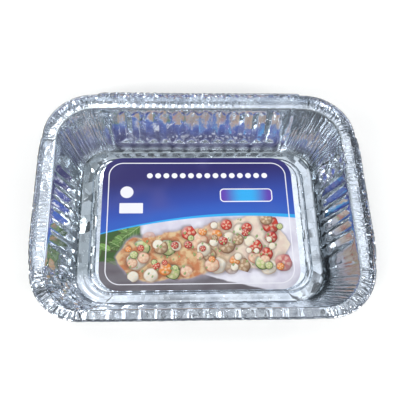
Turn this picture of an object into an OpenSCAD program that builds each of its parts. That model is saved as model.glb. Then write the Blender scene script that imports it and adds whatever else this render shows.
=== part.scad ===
// Foil roasting pan. One sheet of foil pressed into a deep rounded rectangle, with fluted
// straight walls, pleated corners, a crimped ledge and an upstanding lip that ends in a
// rolled edge. A printed card lies loose on the raised middle of its floor.
// Millimetres, +Z up. The origin is the middle of the base, on the table.

/* [Mouth] */
// Inside length where the walls meet the ledge
mouth_l = 295.4; // [260:0.2:360]
// Inside width where the walls meet the ledge
mouth_w = 216.2; // [190:0.2:280]
// Inside corner radius where the walls meet the ledge
mouth_r = 38; // [32:1:48]
// Height of the ledge above the table
ledge_z = 54.8; // [46:0.2:80]

/* [Floor] */
// Inside length where the walls meet the floor
floor_l = 254.4; // [220:0.2:256]
// Inside width where the walls meet the floor
floor_w = 174.8; // [150:0.2:188]
// Inside corner radius where the walls meet the floor
floor_r = 31; // [26:1:36]
// Radius of the bend between floor and wall
floor_bend = 2.2; // [1:0.1:4]
// Width of the channel that the pan stands on, at the two ends
channel_end = 9; // [4:0.2:14]
// Width of the channel that the pan stands on, along the two long sides
channel_side = 6.8; // [3:0.2:10]
// Width of the flat between the two steps of the raised middle, at the ends
tread_end = 4.4; // [1:0.2:8]
// Width of the flat between the two steps of the raised middle, along the sides
tread_side = 1.2; // [1:0.1:4]
// Height of each of the two steps
step_h = 1.2; // [0.6:0.1:2]
// How far each step runs inwards as it rises
step_run = 1.9; // [1:0.1:3]
// Corner radius of the raised middle
panel_r = 22; // [14:1:26]

/* [Flutes] */
// Spacing of the flutes along the long walls
long_pitch = 14.4; // [12:0.2:20]
// Spacing of the flutes along the short walls
short_pitch = 12.6; // [11:0.2:18]
// Depth that each flute is pressed outwards
flute_d = 1.9; // [1:0.1:2.6]
// Plain wall left between the last flute and the corner, at the floor
flute_clear = 9; // [5:1:16]
// Height above the table of the shoulder that each flute steps out at
shoulder_z = 11; // [8:0.5:18]
// Height of the slope at the shoulder
shoulder_h = 2.4; // [1:0.1:4]
// Share of its depth that a flute keeps below the shoulder
foot_share = 0.4; // [0:0.05:0.8]
// Plain band left between the tops of the flutes and the ledge
band_h = 3.6; // [2:0.1:6]
// Height of the arch at the top of each flute
arch_h = 4.6; // [2:0.1:7]

/* [Corners] */
// Pleats in each corner
pleats = 8; // [4:1:9]
// Height of the pleats from crest to hollow, at the top of the wall
pleat_d = 1.3; // [0.4:0.1:1.8]

/* [Rim] */
// Width of the flat ledge round the mouth
ledge_w = 9.1; // [6:0.1:12]
// Radius of the bend between wall and ledge
ledge_bend = 0.9; // [0.5:0.1:2]
// Height of the lip above the ledge along the straight sides
lip_h = 8.8; // [6:0.1:12]
// Height of the lip above the ledge round the corners
corner_lip_h = 6.4; // [4:0.1:10]
// How far the lip leans outwards by its top
lip_lean = 1.5; // [0.5:0.1:3]
// Diameter of the rolled edge on top of the lip
roll_d = 2.6; // [1.8:0.1:4]
// Height of the crimps across the ledge, from crest to hollow
crimp_d = 0.9; // [0.2:0.1:1.4]

/* [Foil] */
// Thickness of the sheet as modelled
foil_t = 0.5; // [0.3:0.05:0.7]
// Number that fixes how uneven the pleats and crimps are
crease_seed = 7; // [1:1:99]

/* [Card] */
// Bare foil left between the card and the first step, at the two ends
card_gap_end = 4.4; // [2:0.2:20]
// How far the card reaches past the raised middle's flat top, along the sides
card_over_side = 2.8; // [-10:0.2:4]
// Corner radius of the card
card_r = 21.5; // [6:0.5:30]
// Thickness of the card
card_t = 0.35; // [0.2:0.05:0.8]
// How far the card has slid to the left of the middle
card_left = 1.1; // [0:0.1:2]
// How far the card has slid to the back of the middle
card_back = 1.1; // [0:0.1:2]

/* [Hidden] */

foil_colour = [0.74, 0.77, 0.79];
card_colour = [0.13, 0.16, 0.45];

// Points to each flute and to each pleat, measured along the wall.
flute_points = 4;
corner_steps = 2 * pleats;
// A flute's outward depth at those points, as a share of the full depth. It starts and
// ends on the ridge between two flutes.
flute_wave = [0, 0.78, 1, 0.78];
// How much two neighbouring crests differ, at most.
crease_spread = 0.45;
// The raised middle's height above the channel.
panel_h = 2 * step_h;
// Outward run of the wall for each millimetre that it rises, as a mean of ends and sides.
draft = ((mouth_l - floor_l) + (mouth_w - floor_w)) / 4 / ledge_z;

// The raised middle, worked inwards from the floor's edge.
step_l = floor_l - 2 * (floor_bend + channel_end + step_run);
step_w = floor_w - 2 * (floor_bend + channel_side + step_run);
panel_l = step_l - 2 * (tread_end + step_run);
panel_w = step_w - 2 * (tread_side + step_run);
step_r = (floor_r - floor_bend + panel_r) / 2;

// Flutes on a wall: as many whole ones as the straight part of the floor's edge holds.
function flute_count(q) =
    let (straight = (q % 2 == 0 ? floor_l : floor_w) - 2 * floor_r - 2 * flute_clear)
    floor(straight / flute_pitch(q));
function flute_pitch(q) = q % 2 == 0 ? long_pitch : short_pitch;
function flute_zone(q) = flute_count(q) * flute_pitch(q) / 2;

// A stop is a place round the pan that every ring has a point at. It holds the wall that
// it is on or follows (0 front, 1 right, 2 back, 3 left), its kind, its place and its
// flute depth. The place is a distance along the wall for a flute, a share of the plain
// stretch for a plain stop and an angle for a corner.
FLUTE = 0;
PLAIN = 1;
CORNER = 2;
function side_stops(q) = concat(
    [[q, PLAIN, -0.5, 0]],
    [for (i = [0 : flute_count(q) * flute_points])
        [q, FLUTE, i * flute_pitch(q) / flute_points - flute_zone(q), flute_wave[i % flute_points]]],
    [[q, PLAIN, 0.5, 0]]);
function corner_stops(q) =
    [for (i = [0 : corner_steps]) [q, CORNER, i * 90 / corner_steps, 0]];
stops = [for (q = [0 : 3]) each concat(side_stops(q), corner_stops(q))];
count = len(stops);

// Crests and hollows take turns round the pan, each a little different from the next.
uneven = rands(-crease_spread, crease_spread, count, crease_seed);
function crease(k) = (k % 2 == 0 ? 1 : -1) * (1 - crease_spread + uneven[k]) / 2;

// A quarter turn for each wall after the front one.
function turned(p, q) =
    q == 0 ? p : q == 1 ? [-p.y, p.x] : q == 2 ? -p : [p.y, -p.x];

// Where a stop lies on a rounded rectangle of length l, width w and corner radius r, and
// the direction that faces outwards there.
function stop_outward(s) =
    turned(s[1] == CORNER ? [sin(s[2]), -cos(s[2])] : [0, -1], s[0]);
function stop_place(s, l, w, r) =
    let (
        along = (s[0] % 2 == 0 ? l : w) / 2 - r,
        across = (s[0] % 2 == 0 ? w : l) / 2,
        zone = flute_zone(s[0]),
        x = s[1] == FLUTE ? s[2] : s[1] == PLAIN ? sign(s[2]) * zone + s[2] * (along - zone) : along
    )
    turned([x, -across], s[0]) + (s[1] == CORNER
        ? turned([r * sin(s[2]), r * (1 - cos(s[2]))], s[0]) : [0, 0]);

// The section of the pan from the floor's edge to the rolled edge, on the side that holds
// the food. A station is its place outwards from the mouth, its height, then shares of
// flute depth, arch, pleat, crimp across the ledge and crimp across the lip.
function wall_out(z) = -draft * (ledge_z - z);
function section(lip) =
    let (
        shoulder_top = shoulder_z + shoulder_h,
        flute_top = ledge_z - band_h,
        lip_out = ledge_w + lip_lean,
        lip_z = ledge_z + lip,
        roll_r = roll_d / 2
    ) [
        [wall_out(0) - floor_bend, foil_t, 0, 0, 0, 0, 0],
        [wall_out(foil_t + floor_bend), foil_t + floor_bend, 0, 0, 0.1, 0, 0],
        [wall_out(shoulder_z), shoulder_z, foot_share, 0, 0.3, 0, 0],
        [wall_out(shoulder_top), shoulder_top, 1, 0, 0.4, 0, 0],
        [wall_out(flute_top - arch_h * 1.6), flute_top - arch_h * 1.6, 1, 1, 0.9, 0, 0],
        [wall_out(flute_top), flute_top, 0, 0, 1, 0, 0],
        [wall_out(ledge_z - ledge_bend), ledge_z - ledge_bend, 0, 0, 0.3, 0, 0],
        [ledge_bend, ledge_z, 0, 0, 0, 0.4, 0],
        [ledge_w, ledge_z, 0, 0, 0, 1, 0.5],
        [lip_out, lip_z, 0, 0, 0, 0.5, 1],
        [lip_out + roll_r, lip_z + roll_r, 0, 0, 0, 0.4, 0.6],
        [lip_out + roll_d, lip_z, 0, 0, 0, 0.4, 0.6],
    ];
side_section = section(lip_h);
corner_section = section(corner_lip_h);
stations = len(side_section);

// The under side of a station: the sheet's thickness away, square to both of its
// neighbouring stretches.
function stretch_normal(a, b) = let (d = [b[0] - a[0], b[1] - a[1]]) [d.y, -d.x] / norm(d);
function under_shift(sec, j) =
    let (
        before = j == 0 ? [0, -1] : stretch_normal(sec[j - 1], sec[j]),
        after = j == stations - 1 ? before : stretch_normal(sec[j], sec[j + 1])
    )
    foil_t * (before + after) / (1 + before * after);

// One point of the pan's wall or rim. The wall's outline changes evenly from the floor's
// to the mouth's, and the rim's follows the mouth's.
function wall_point(k, j, under) =
    let (
        s = stops[k],
        sec = s[1] == CORNER ? corner_section : side_section,
        st = sec[j],
        rise = min(1, max(0, st[0] < 0 ? 1 + st[0] / (draft * ledge_z) : 1)),
        spare = min(st[0], 0) + draft * ledge_z * (1 - rise),
        beyond = max(st[0], 0) + spare,
        skin = under ? under_shift(sec, j) : [0, 0],
        wide = 2 * (beyond + skin[0]),
        base = stop_place(
            s,
            floor_l + rise * (mouth_l - floor_l) + wide,
            floor_w + rise * (mouth_w - floor_w) + wide,
            floor_r + rise * (mouth_r - floor_r) + wide / 2),
        arch = st[3] * arch_h * s[3],
        pleat = s[1] == CORNER ? st[4] * pleat_d * crease(k) : 0,
        push = st[2] * flute_d * s[3] + arch * draft + pleat + st[6] * crimp_d * crease(k)
    )
    concat(base + push * stop_outward(s), st[1] + skin[1] + arch + st[5] * crimp_d * crease(k));

// The floor inside the wall needs few points: every second one of each corner.
floor_stops = [for (s = stops) if (s[1] == CORNER && round(s[2] * corner_steps / 90) % 2 == 0) s];
floor_count = len(floor_stops);
floor_rings = [
    [step_l + 2 * step_run, step_w + 2 * step_run, step_r + step_run, 0],
    [step_l, step_w, step_r, step_h],
    [panel_l + 2 * step_run, panel_w + 2 * step_run, panel_r + step_run, step_h],
    [panel_l, panel_w, panel_r, panel_h],
];
function floor_ring(ring, under) =
    [for (s = floor_stops)
        concat(stop_place(s, ring[0], ring[1], ring[2]), ring[3] + (under ? 0 : foil_t))];

// One skin of the sheet: its floor rings from the middle outwards, then its wall rings.
function skin_points(under) = concat(
    [for (i = [len(floor_rings) - 1 : -1 : 0]) each floor_ring(floor_rings[i], under)],
    [for (j = [0 : stations - 1]) each [for (k = [0 : count - 1]) wall_point(k, j, under)]]);

// Faces between two rings that have n points each, with their first points at a and b.
function band(a, b, n) = [for (k = [0 : n - 1]) let (m = (k + 1) % n)
    each [[a + k, a + m, b + m], [a + k, b + m, b + k]]];

// Faces between the outermost floor ring and the wall's first ring. Each point of the
// wall joins the floor point of its own corner, or of the corner that it follows.
fine_start = len(floor_rings) * floor_count;
function floor_index(k) =
    let (
        s = stops[k],
        each_corner = corner_steps / 2 + 1,
        here = s[1] == CORNER ? floor(round(s[2] * corner_steps / 90) / 2) : s[2] > 0 ? 0 : -1
    )
    (s[0] * each_corner + here + floor_count) % floor_count;
function seam() = let (a = fine_start - floor_count)
    [for (k = [0 : count - 1]) let (m = (k + 1) % count, p = floor_index(k), n = floor_index(m))
        each concat(
            [[a + p, fine_start + m, fine_start + k]],
            p == n ? [] : [[a + p, a + n, fine_start + m]])];

function skin_faces() = concat(
    [[for (k = [0 : floor_count - 1]) k]],
    [for (i = [0 : len(floor_rings) - 2]) each band((i + 1) * floor_count, i * floor_count, floor_count)],
    [for (f = seam()) [f[0], f[2], f[1]]],
    [for (j = [0 : stations - 2])
        each band(fine_start + (j + 1) * count, fine_start + j * count, count)]);

module pan() {
    upper = skin_points(false);
    lower = skin_points(true);
    shift = len(upper);
    last = shift - count;
    upper_faces = skin_faces();
    lower_faces = [for (f = upper_faces) [for (i = [len(f) - 1 : -1 : 0]) f[i] + shift]];
    edge_faces = band(shift + last, last, count);
    color(foil_colour)
        polyhedron(concat(upper, lower), concat(upper_faces, lower_faces, edge_faces), convexity = 10);
}

module card() {
    l = panel_l - 2 * card_gap_end;
    w = panel_w + 2 * card_over_side;
    color(card_colour)
        translate([-card_left, card_back, foil_t + panel_h])
            linear_extrude(card_t)
                rounded_rectangle(l, w, min(card_r, w / 2 - 1));
}

module rounded_rectangle(l, w, r) {
    square([l - 2 * r, w], center = true);
    square([l, w - 2 * r], center = true);
    for (x = [-1, 1], y = [-1, 1])
        translate([x * (l / 2 - r), y * (w / 2 - r)])
            circle(r, $fn = 64);
}

pan();
card();
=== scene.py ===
"""A foil roasting pan with a printed card on its floor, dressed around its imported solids."""

import logging
import math
from dataclasses import dataclass
from enum import Enum
from functools import cached_property
from typing import Callable

import bpy
import numpy as np
from mathutils import Matrix, Vector


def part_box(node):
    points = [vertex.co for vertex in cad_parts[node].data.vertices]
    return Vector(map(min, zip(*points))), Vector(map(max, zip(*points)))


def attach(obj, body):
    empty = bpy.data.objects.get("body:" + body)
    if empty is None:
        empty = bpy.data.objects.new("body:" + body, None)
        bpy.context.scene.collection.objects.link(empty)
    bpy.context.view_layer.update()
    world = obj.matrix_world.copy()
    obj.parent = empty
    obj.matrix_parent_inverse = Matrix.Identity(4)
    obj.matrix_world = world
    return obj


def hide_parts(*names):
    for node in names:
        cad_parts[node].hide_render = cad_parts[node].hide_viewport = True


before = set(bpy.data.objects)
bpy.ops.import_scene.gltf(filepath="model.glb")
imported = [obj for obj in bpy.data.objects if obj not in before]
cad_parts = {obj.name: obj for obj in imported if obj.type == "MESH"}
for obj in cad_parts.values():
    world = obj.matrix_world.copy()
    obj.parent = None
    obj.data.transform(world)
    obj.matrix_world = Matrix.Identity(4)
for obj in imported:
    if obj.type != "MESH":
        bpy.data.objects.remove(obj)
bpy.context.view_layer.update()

LOG = logging.getLogger("foil_pan")
MM = 0.001
BODY = "root"
SMOOTH_UP_TO = math.radians(24)


class Side(Enum):
    """The four walls, in the order that the rings pass them."""

    FRONT = 0
    RIGHT = 1
    BACK = 2
    LEFT = 3


def soft_step(x: np.ndarray, low: float, high: float) -> np.ndarray:
    """A rise from 0 at low to 1 at high with level ends.

    Args:
        x: The values to judge.
        low: Where the rise starts.
        high: Where the rise ends.

    Returns:
        The height of the rise at each value.
    """
    t = np.clip((x - low) / (high - low), 0.0, 1.0)
    return t * t * (3.0 - 2.0 * t)


def quarter_turned(x: np.ndarray, y: np.ndarray, quarters: np.ndarray | int) -> np.ndarray:
    """Turns places about the middle, from the front wall to another.

    Args:
        x: The places from left to right.
        y: The places from front to back.
        quarters: How many walls after the front one each place belongs to.

    Returns:
        One row of x and y for each place.
    """
    c = np.array([1, 0, -1, 0])[quarters]
    s = np.array([0, 1, 0, -1])[quarters]
    return np.stack([c * x - s * y, s * x + c * y], axis=1)


def deselect() -> None:
    """Leaves nothing selected, because an operator acts on all that is."""
    if bpy.context.object and bpy.context.object.mode != "OBJECT":
        bpy.ops.object.mode_set(mode="OBJECT")
    bpy.ops.object.select_all(action="DESELECT")


@dataclass(frozen=True)
class Outline:
    """A rounded rectangle round the middle of the pan, in millimetres."""

    length: float
    width: float
    radius: float

    def grown(self, by: float) -> "Outline":
        """The same outline moved outwards all round."""
        return Outline(self.length + 2 * by, self.width + 2 * by, self.radius + by)

    def towards(self, other: "Outline", share: float) -> "Outline":
        """An outline part of the way from this one to another."""
        return Outline(
            self.length + share * (other.length - self.length),
            self.width + share * (other.width - self.width),
            self.radius + share * (other.radius - self.radius),
        )


@dataclass(frozen=True)
class PanSizes:
    """The pan's sizes in millimetres, as its solids have them."""

    mouth: Outline = Outline(295.4, 216.2, 38.0)
    floor: Outline = Outline(254.4, 174.8, 31.0)
    ledge_z: float = 54.8
    floor_bend: float = 2.2
    channel_end: float = 9.0
    channel_side: float = 6.8
    tread_end: float = 4.4
    tread_side: float = 1.2
    step_h: float = 1.2
    step_run: float = 1.9
    panel_r: float = 22.0
    pitches: tuple[float, float] = (14.4, 12.6)
    flutes: tuple[int, int] = (12, 7)
    flute_d: float = 1.9
    shoulder_z: float = 11.0
    shoulder_h: float = 2.4
    foot_share: float = 0.4
    band_h: float = 3.6
    arch_h: float = 4.6
    ledge_w: float = 9.1
    ledge_bend: float = 0.9
    lip_h: float = 8.8
    corner_lip_h: float = 6.4
    lip_lean: float = 1.5
    roll_d: float = 2.6
    foil_t: float = 0.5
    sheet_t: float = 0.14

    @property
    def draft(self) -> float:
        """How far the wall runs outwards for each millimetre that it rises."""
        run = (self.mouth.length - self.floor.length) + (self.mouth.width - self.floor.width)
        return run / 4 / self.ledge_z


@dataclass(frozen=True)
class Dents:
    """Soft uneven swells over a surface that is laid out flat."""

    seed: int
    wide: float
    tall: float

    CELLS = 64

    def at(self, s: np.ndarray, t: np.ndarray) -> np.ndarray:
        """The height of the swells.

        Args:
            s: Places one way, in millimetres.
            t: Places the other way, in millimetres.

        Returns:
            Heights from -1 to 1.
        """
        n = self.CELLS
        grid = np.random.default_rng(self.seed).uniform(-1, 1, (n, n))
        a, b = s / self.wide, t / self.tall
        i, j = np.floor(a).astype(int), np.floor(b).astype(int)
        u, v = soft_step(a - i, 0, 1), soft_step(b - j, 0, 1)
        near, far = (
            grid[i % n, row % n] * (1 - u) + grid[(i + 1) % n, row % n] * u for row in (j, j + 1)
        )
        return near * (1 - v) + far * v


class Stops:
    """The places round the pan that every ring of the sheet has a point at.

    Attributes:
        side: The wall that each stop is on, or that its corner follows.
        place: Distance along the wall for a flute stop, or share of the plain stretch.
        turn: Angle round the corner, or 0 on a wall.
        phase: Place across a flute from 0 to 1, or 0 where there is none.
    """

    FLUTE, PLAIN, CORNER = range(3)
    PER_FLUTE = 12
    PER_PLAIN = 11
    PER_CORNER = 66
    FOLD_SPREAD = 0.5

    def __init__(self, sizes: PanSizes) -> None:
        """Lays the stops out, wall by wall and corner by corner.

        Args:
            sizes: The pan that they belong to.
        """
        self.sizes = sizes
        rows: list[tuple[int, int, float, float]] = []
        for side in Side:
            q = side.value
            n, pitch = sizes.flutes[q % 2], sizes.pitches[q % 2]
            plain = [(i + 1) / self.PER_PLAIN for i in range(self.PER_PLAIN - 1)]
            rows += [(q, self.PLAIN, t - 1, 0.0) for t in plain]
            for i in range(n * self.PER_FLUTE + 1):
                across = i / self.PER_FLUTE
                rows.append((q, self.FLUTE, (across - n / 2) * pitch, across % 1.0))
            rows += [(q, self.PLAIN, t, 0.0) for t in plain]
            rows += [
                (q, self.CORNER, i * math.pi / 2 / self.PER_CORNER, 0.0)
                for i in range(self.PER_CORNER + 1)
            ]
        table = np.array(rows)
        self.side = table[:, 0].astype(int)
        self.kind = table[:, 1].astype(int)
        self.place = table[:, 2]
        self.phase = table[:, 3]
        self.turn = np.where(self.kind == self.CORNER, self.place, 0.0)
        self.count = len(rows)

    @cached_property
    def outward(self) -> np.ndarray:
        """The direction that faces outwards at each stop."""
        return quarter_turned(np.sin(self.turn), -np.cos(self.turn), self.side)

    def on(self, outline: Outline) -> np.ndarray:
        """Where the stops lie on an outline.

        Args:
            outline: The rounded rectangle.

        Returns:
            One row of x and y for each stop, in millimetres.
        """
        long_side = self.side % 2 == 0
        along = np.where(long_side, outline.length, outline.width) / 2 - outline.radius
        across = np.where(long_side, outline.width, outline.length) / 2
        s = self.sizes
        zone = np.where(long_side, s.flutes[0] * s.pitches[0], s.flutes[1] * s.pitches[1]) / 2
        plain = np.sign(self.place) * zone + self.place * (along - zone)
        x = np.choose(self.kind, [self.place, plain, along])
        r = outline.radius
        y = -across + r * (1 - np.cos(self.turn))
        return quarter_turned(x + r * np.sin(self.turn), y, self.side)

    @cached_property
    def way(self) -> np.ndarray:
        """Distance round the mouth to each stop, in millimetres."""
        p = self.on(self.sizes.mouth)
        steps = np.hypot(*(p - np.roll(p, 1, axis=0)).T)
        steps[0] = 0.0
        return np.cumsum(steps)

    @cached_property
    def corner_share(self) -> np.ndarray:
        """1 round the corners and 0 on the walls, with a quick change at the ends."""
        return np.where(self.kind == self.CORNER, 1.0, soft_step(self._past_zone(), 0.82, 1.0))

    @cached_property
    def plain_share(self) -> np.ndarray:
        """1 off the fluted stretches and 0 on them."""
        return np.where(self.kind == self.FLUTE, 0.0, 1.0)

    def folds(self, seed: int, on_wall: tuple[int, ...], at_corner: tuple[int, ...]) -> np.ndarray:
        """Sharp folds side by side, whose crests and hollows lie on stops.

        Args:
            seed: Picks the folds.
            on_wall: How many stops there may be from a crest to the next hollow on a wall.
            at_corner: The same round a corner.

        Returns:
            A height from -1 to 1 for each stop.
        """
        rng = np.random.default_rng(seed)
        knots = [0]
        while knots[-1] < self.count - max(on_wall + at_corner):
            steps = at_corner if self.kind[knots[-1]] == self.CORNER else on_wall
            knots.append(knots[-1] + int(rng.choice(steps)))
        knots = knots[: len(knots) // 2 * 2]
        signs = np.where(np.arange(len(knots)) % 2 == 0, 1.0, -1.0)
        heights = signs * rng.uniform(1 - self.FOLD_SPREAD, 1, len(knots))
        return np.interp(np.arange(self.count), knots, heights, period=self.count)

    def grooves(self, seed: int, apart: tuple[int, ...]) -> np.ndarray:
        """Narrow grooves between broad crests.

        Args:
            seed: Picks the grooves.
            apart: How many stops there may be from one groove to the next.

        Returns:
            0 on the crests and down to -1 in the grooves, for each stop.
        """
        rng = np.random.default_rng(seed)
        at = np.cumsum(rng.choice(apart, self.count))
        depth = np.zeros(self.count)
        depth[at[at < self.count]] = -rng.uniform(0.4, 1.0, np.count_nonzero(at < self.count))
        return depth

    def _past_zone(self) -> np.ndarray:
        """Share of the plain stretch passed, or 0 on a flute."""
        return np.where(self.kind == self.PLAIN, np.abs(self.place), 0.0)

    def from_corner(self) -> np.ndarray:
        """Share of a plain stretch left before the corner: 0 in it, 1 on the flutes."""
        return np.where(self.kind == self.CORNER, 0.0, 1.0 - self._past_zone())


@dataclass(frozen=True)
class Ring:
    """One ring of the sheet: its outline, its height and how far over the rim it lies."""

    outline: Outline
    z: float
    ledge: float = 0.0
    lip: float = 0.0
    roll: float = 0.0


class Section:
    """The pan cut through from the middle of its floor to its rolled edge.

    The shares say where the rings lie between two edges. Lengths are in millimetres.
    """

    STEP_SHARES = (0.0, 0.25, 0.5, 0.75, 1.0)
    CHANNEL_SHARES = (0.3, 0.6, 0.85)
    FLOOR_BEND_SHARES = (0.0, 0.3, 0.6, 1.0)
    LEDGE_BEND_SHARES = (0.0, 0.5, 1.0)
    LEDGE_SHARES = (0.22, 0.45, 0.7, 0.9, 1.0)
    LIP_SHARES = (0.08, 0.35, 0.7, 1.0)
    ROLL_SHARES = (0.17, 0.33, 0.5, 0.66, 0.83, 1.0)
    ROLL_START, ROLL_TURN = 180, 270
    PANEL_INSET = 2.0
    TREAD_CROWN = 0.22
    WALL_FROM = 4.4
    WALL_MIDDLE = (17.0, 40.0)
    ARCHES_FROM = 43.0
    BELOW_SHOULDER = 0.6
    BELOW_LEDGE = 2.6

    def __init__(self, sizes: PanSizes) -> None:
        """Keeps the sizes that the section is worked out from."""
        self.sizes = sizes

    def rings(self) -> list[Ring]:
        """Every ring of the sheet, from the middle outwards."""
        return [*self._floor(), *self._wall(), *self._rim()]

    def _floor(self) -> list[Ring]:
        """The raised middle, its two steps and the channel."""
        s = self.sizes
        edge = s.floor.grown(-s.floor_bend)
        foot = Outline(
            edge.length - 2 * s.channel_end,
            edge.width - 2 * s.channel_side,
            (edge.radius + s.panel_r) / 2 + s.step_run,
        )
        step = foot.grown(-s.step_run)
        tread = Outline(
            step.length - 2 * s.tread_end,
            step.width - 2 * s.tread_side,
            s.panel_r + s.step_run,
        )
        panel = tread.grown(-s.step_run)
        top, low = s.foil_t + 2 * s.step_h, s.sheet_t
        half = (top - low) / 2
        heights = 1 - soft_step(np.array(self.STEP_SHARES), -0.1, 1.1)
        fall = list(zip(self.STEP_SHARES, heights.tolist()))
        rings = [Ring(panel.grown(-self.PANEL_INSET), top)]
        rings += [Ring(panel.towards(tread, share), low + half * (1 + left)) for share, left in fall]
        rings.append(Ring(tread.towards(step, 0.5), low + half + self.TREAD_CROWN))
        rings += [Ring(step.towards(foot, share), low + half * left) for share, left in fall]
        rings += [Ring(foot.towards(edge, share), low) for share in self.CHANNEL_SHARES]
        return rings

    def _wall(self) -> list[Ring]:
        """The bend at the floor, the wall and the bend on to the ledge."""
        s = self.sizes
        lean = math.atan(s.draft)
        heights = [
            *np.linspace(self.WALL_FROM, s.shoulder_z - self.BELOW_SHOULDER, 3),
            *np.linspace(s.shoulder_z, s.shoulder_z + s.shoulder_h, 4),
            *np.linspace(*self.WALL_MIDDLE, 7),
            *np.linspace(self.ARCHES_FROM, s.ledge_z - self.BELOW_LEDGE, 8),
        ]
        rings = []
        for share in self.FLOOR_BEND_SHARES:
            angle = share * (math.pi / 2 - lean)
            rise = s.floor_bend * (1 - math.cos(angle))
            run = s.floor_bend * (math.sin(angle) - 1) * math.cos(lean)
            rings.append(Ring(s.floor.grown(run + s.sheet_t * s.draft), s.sheet_t + rise))
        rings += [Ring(s.floor.towards(s.mouth, z / s.ledge_z), z) for z in heights]
        for share in self.LEDGE_BEND_SHARES:
            angle = share * math.pi / 2
            out = s.ledge_bend * (1 - math.cos(angle))
            down = s.ledge_bend * (1 - math.sin(angle))
            rings.append(Ring(s.mouth.grown(out - s.draft * down), s.ledge_z - down))
        return rings

    def _rim(self) -> list[Ring]:
        """The ledge, the lip and the rolled edge."""
        s = self.sizes
        rings = []
        for share in self.LEDGE_SHARES:
            rings.append(Ring(s.mouth.grown(s.ledge_w * share), s.ledge_z, ledge=share))
        for share in self.LIP_SHARES:
            out, up = s.ledge_w + s.lip_lean * share, s.lip_h * share
            rings.append(Ring(s.mouth.grown(out), s.ledge_z + up, ledge=1.0, lip=share))
        r = s.roll_d / 2
        for share in self.ROLL_SHARES:
            angle = math.radians(self.ROLL_START - self.ROLL_TURN * share)
            out = s.ledge_w + s.lip_lean + r + r * math.cos(angle)
            up = s.lip_h + r * math.sin(angle)
            rings.append(Ring(s.mouth.grown(out), s.ledge_z + up, ledge=1.0, lip=1.0, roll=share))
        return rings


@dataclass(frozen=True)
class RimStyle:
    """How one side of the rim is crimped.

    Attributes:
        steps: How many stops there may be from a crest to the next hollow.
        ledge_depth: Depth of the ledge's crimps, in millimetres.
        lip_depth: Depth of the lip's crimps, in millimetres.
        rib_depth: Height of the narrow ribs that go on from the flutes' edges.
        crumple: Depth of the fine crumples, in millimetres.
        droop: How much lower the ledge is at its outer edge, in millimetres.
        apart: How many stops there may be from one groove of the ledge to the next.
        groove_depth: Depth of those grooves, in millimetres.
    """

    steps: tuple[int, ...]
    ledge_depth: float
    lip_depth: float
    rib_depth: float
    crumple: float
    droop: float
    apart: tuple[int, ...] = (4,)
    groove_depth: float = 0.0


@dataclass(frozen=True)
class Dint:
    """A place on the rim that was knocked.

    Attributes:
        x: Its place from left to right, in millimetres.
        y: Its place from front to back.
        reach: How far the knock spreads.
        depth: How far the foil is pushed down.
        crumple: How deep the crumples round it are.
    """

    x: float
    y: float
    reach: float
    depth: float
    crumple: float


@dataclass(frozen=True)
class Folds:
    """One size of fold among the pleats.

    Attributes:
        seed: Picks the folds.
        depth: How deep they are, in millimetres.
        on_wall: How many stops there may be from a crest to the next hollow on a wall.
        at_corner: The same round a corner.
    """

    seed: int
    depth: float
    on_wall: tuple[int, ...]
    at_corner: tuple[int, ...]


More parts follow.
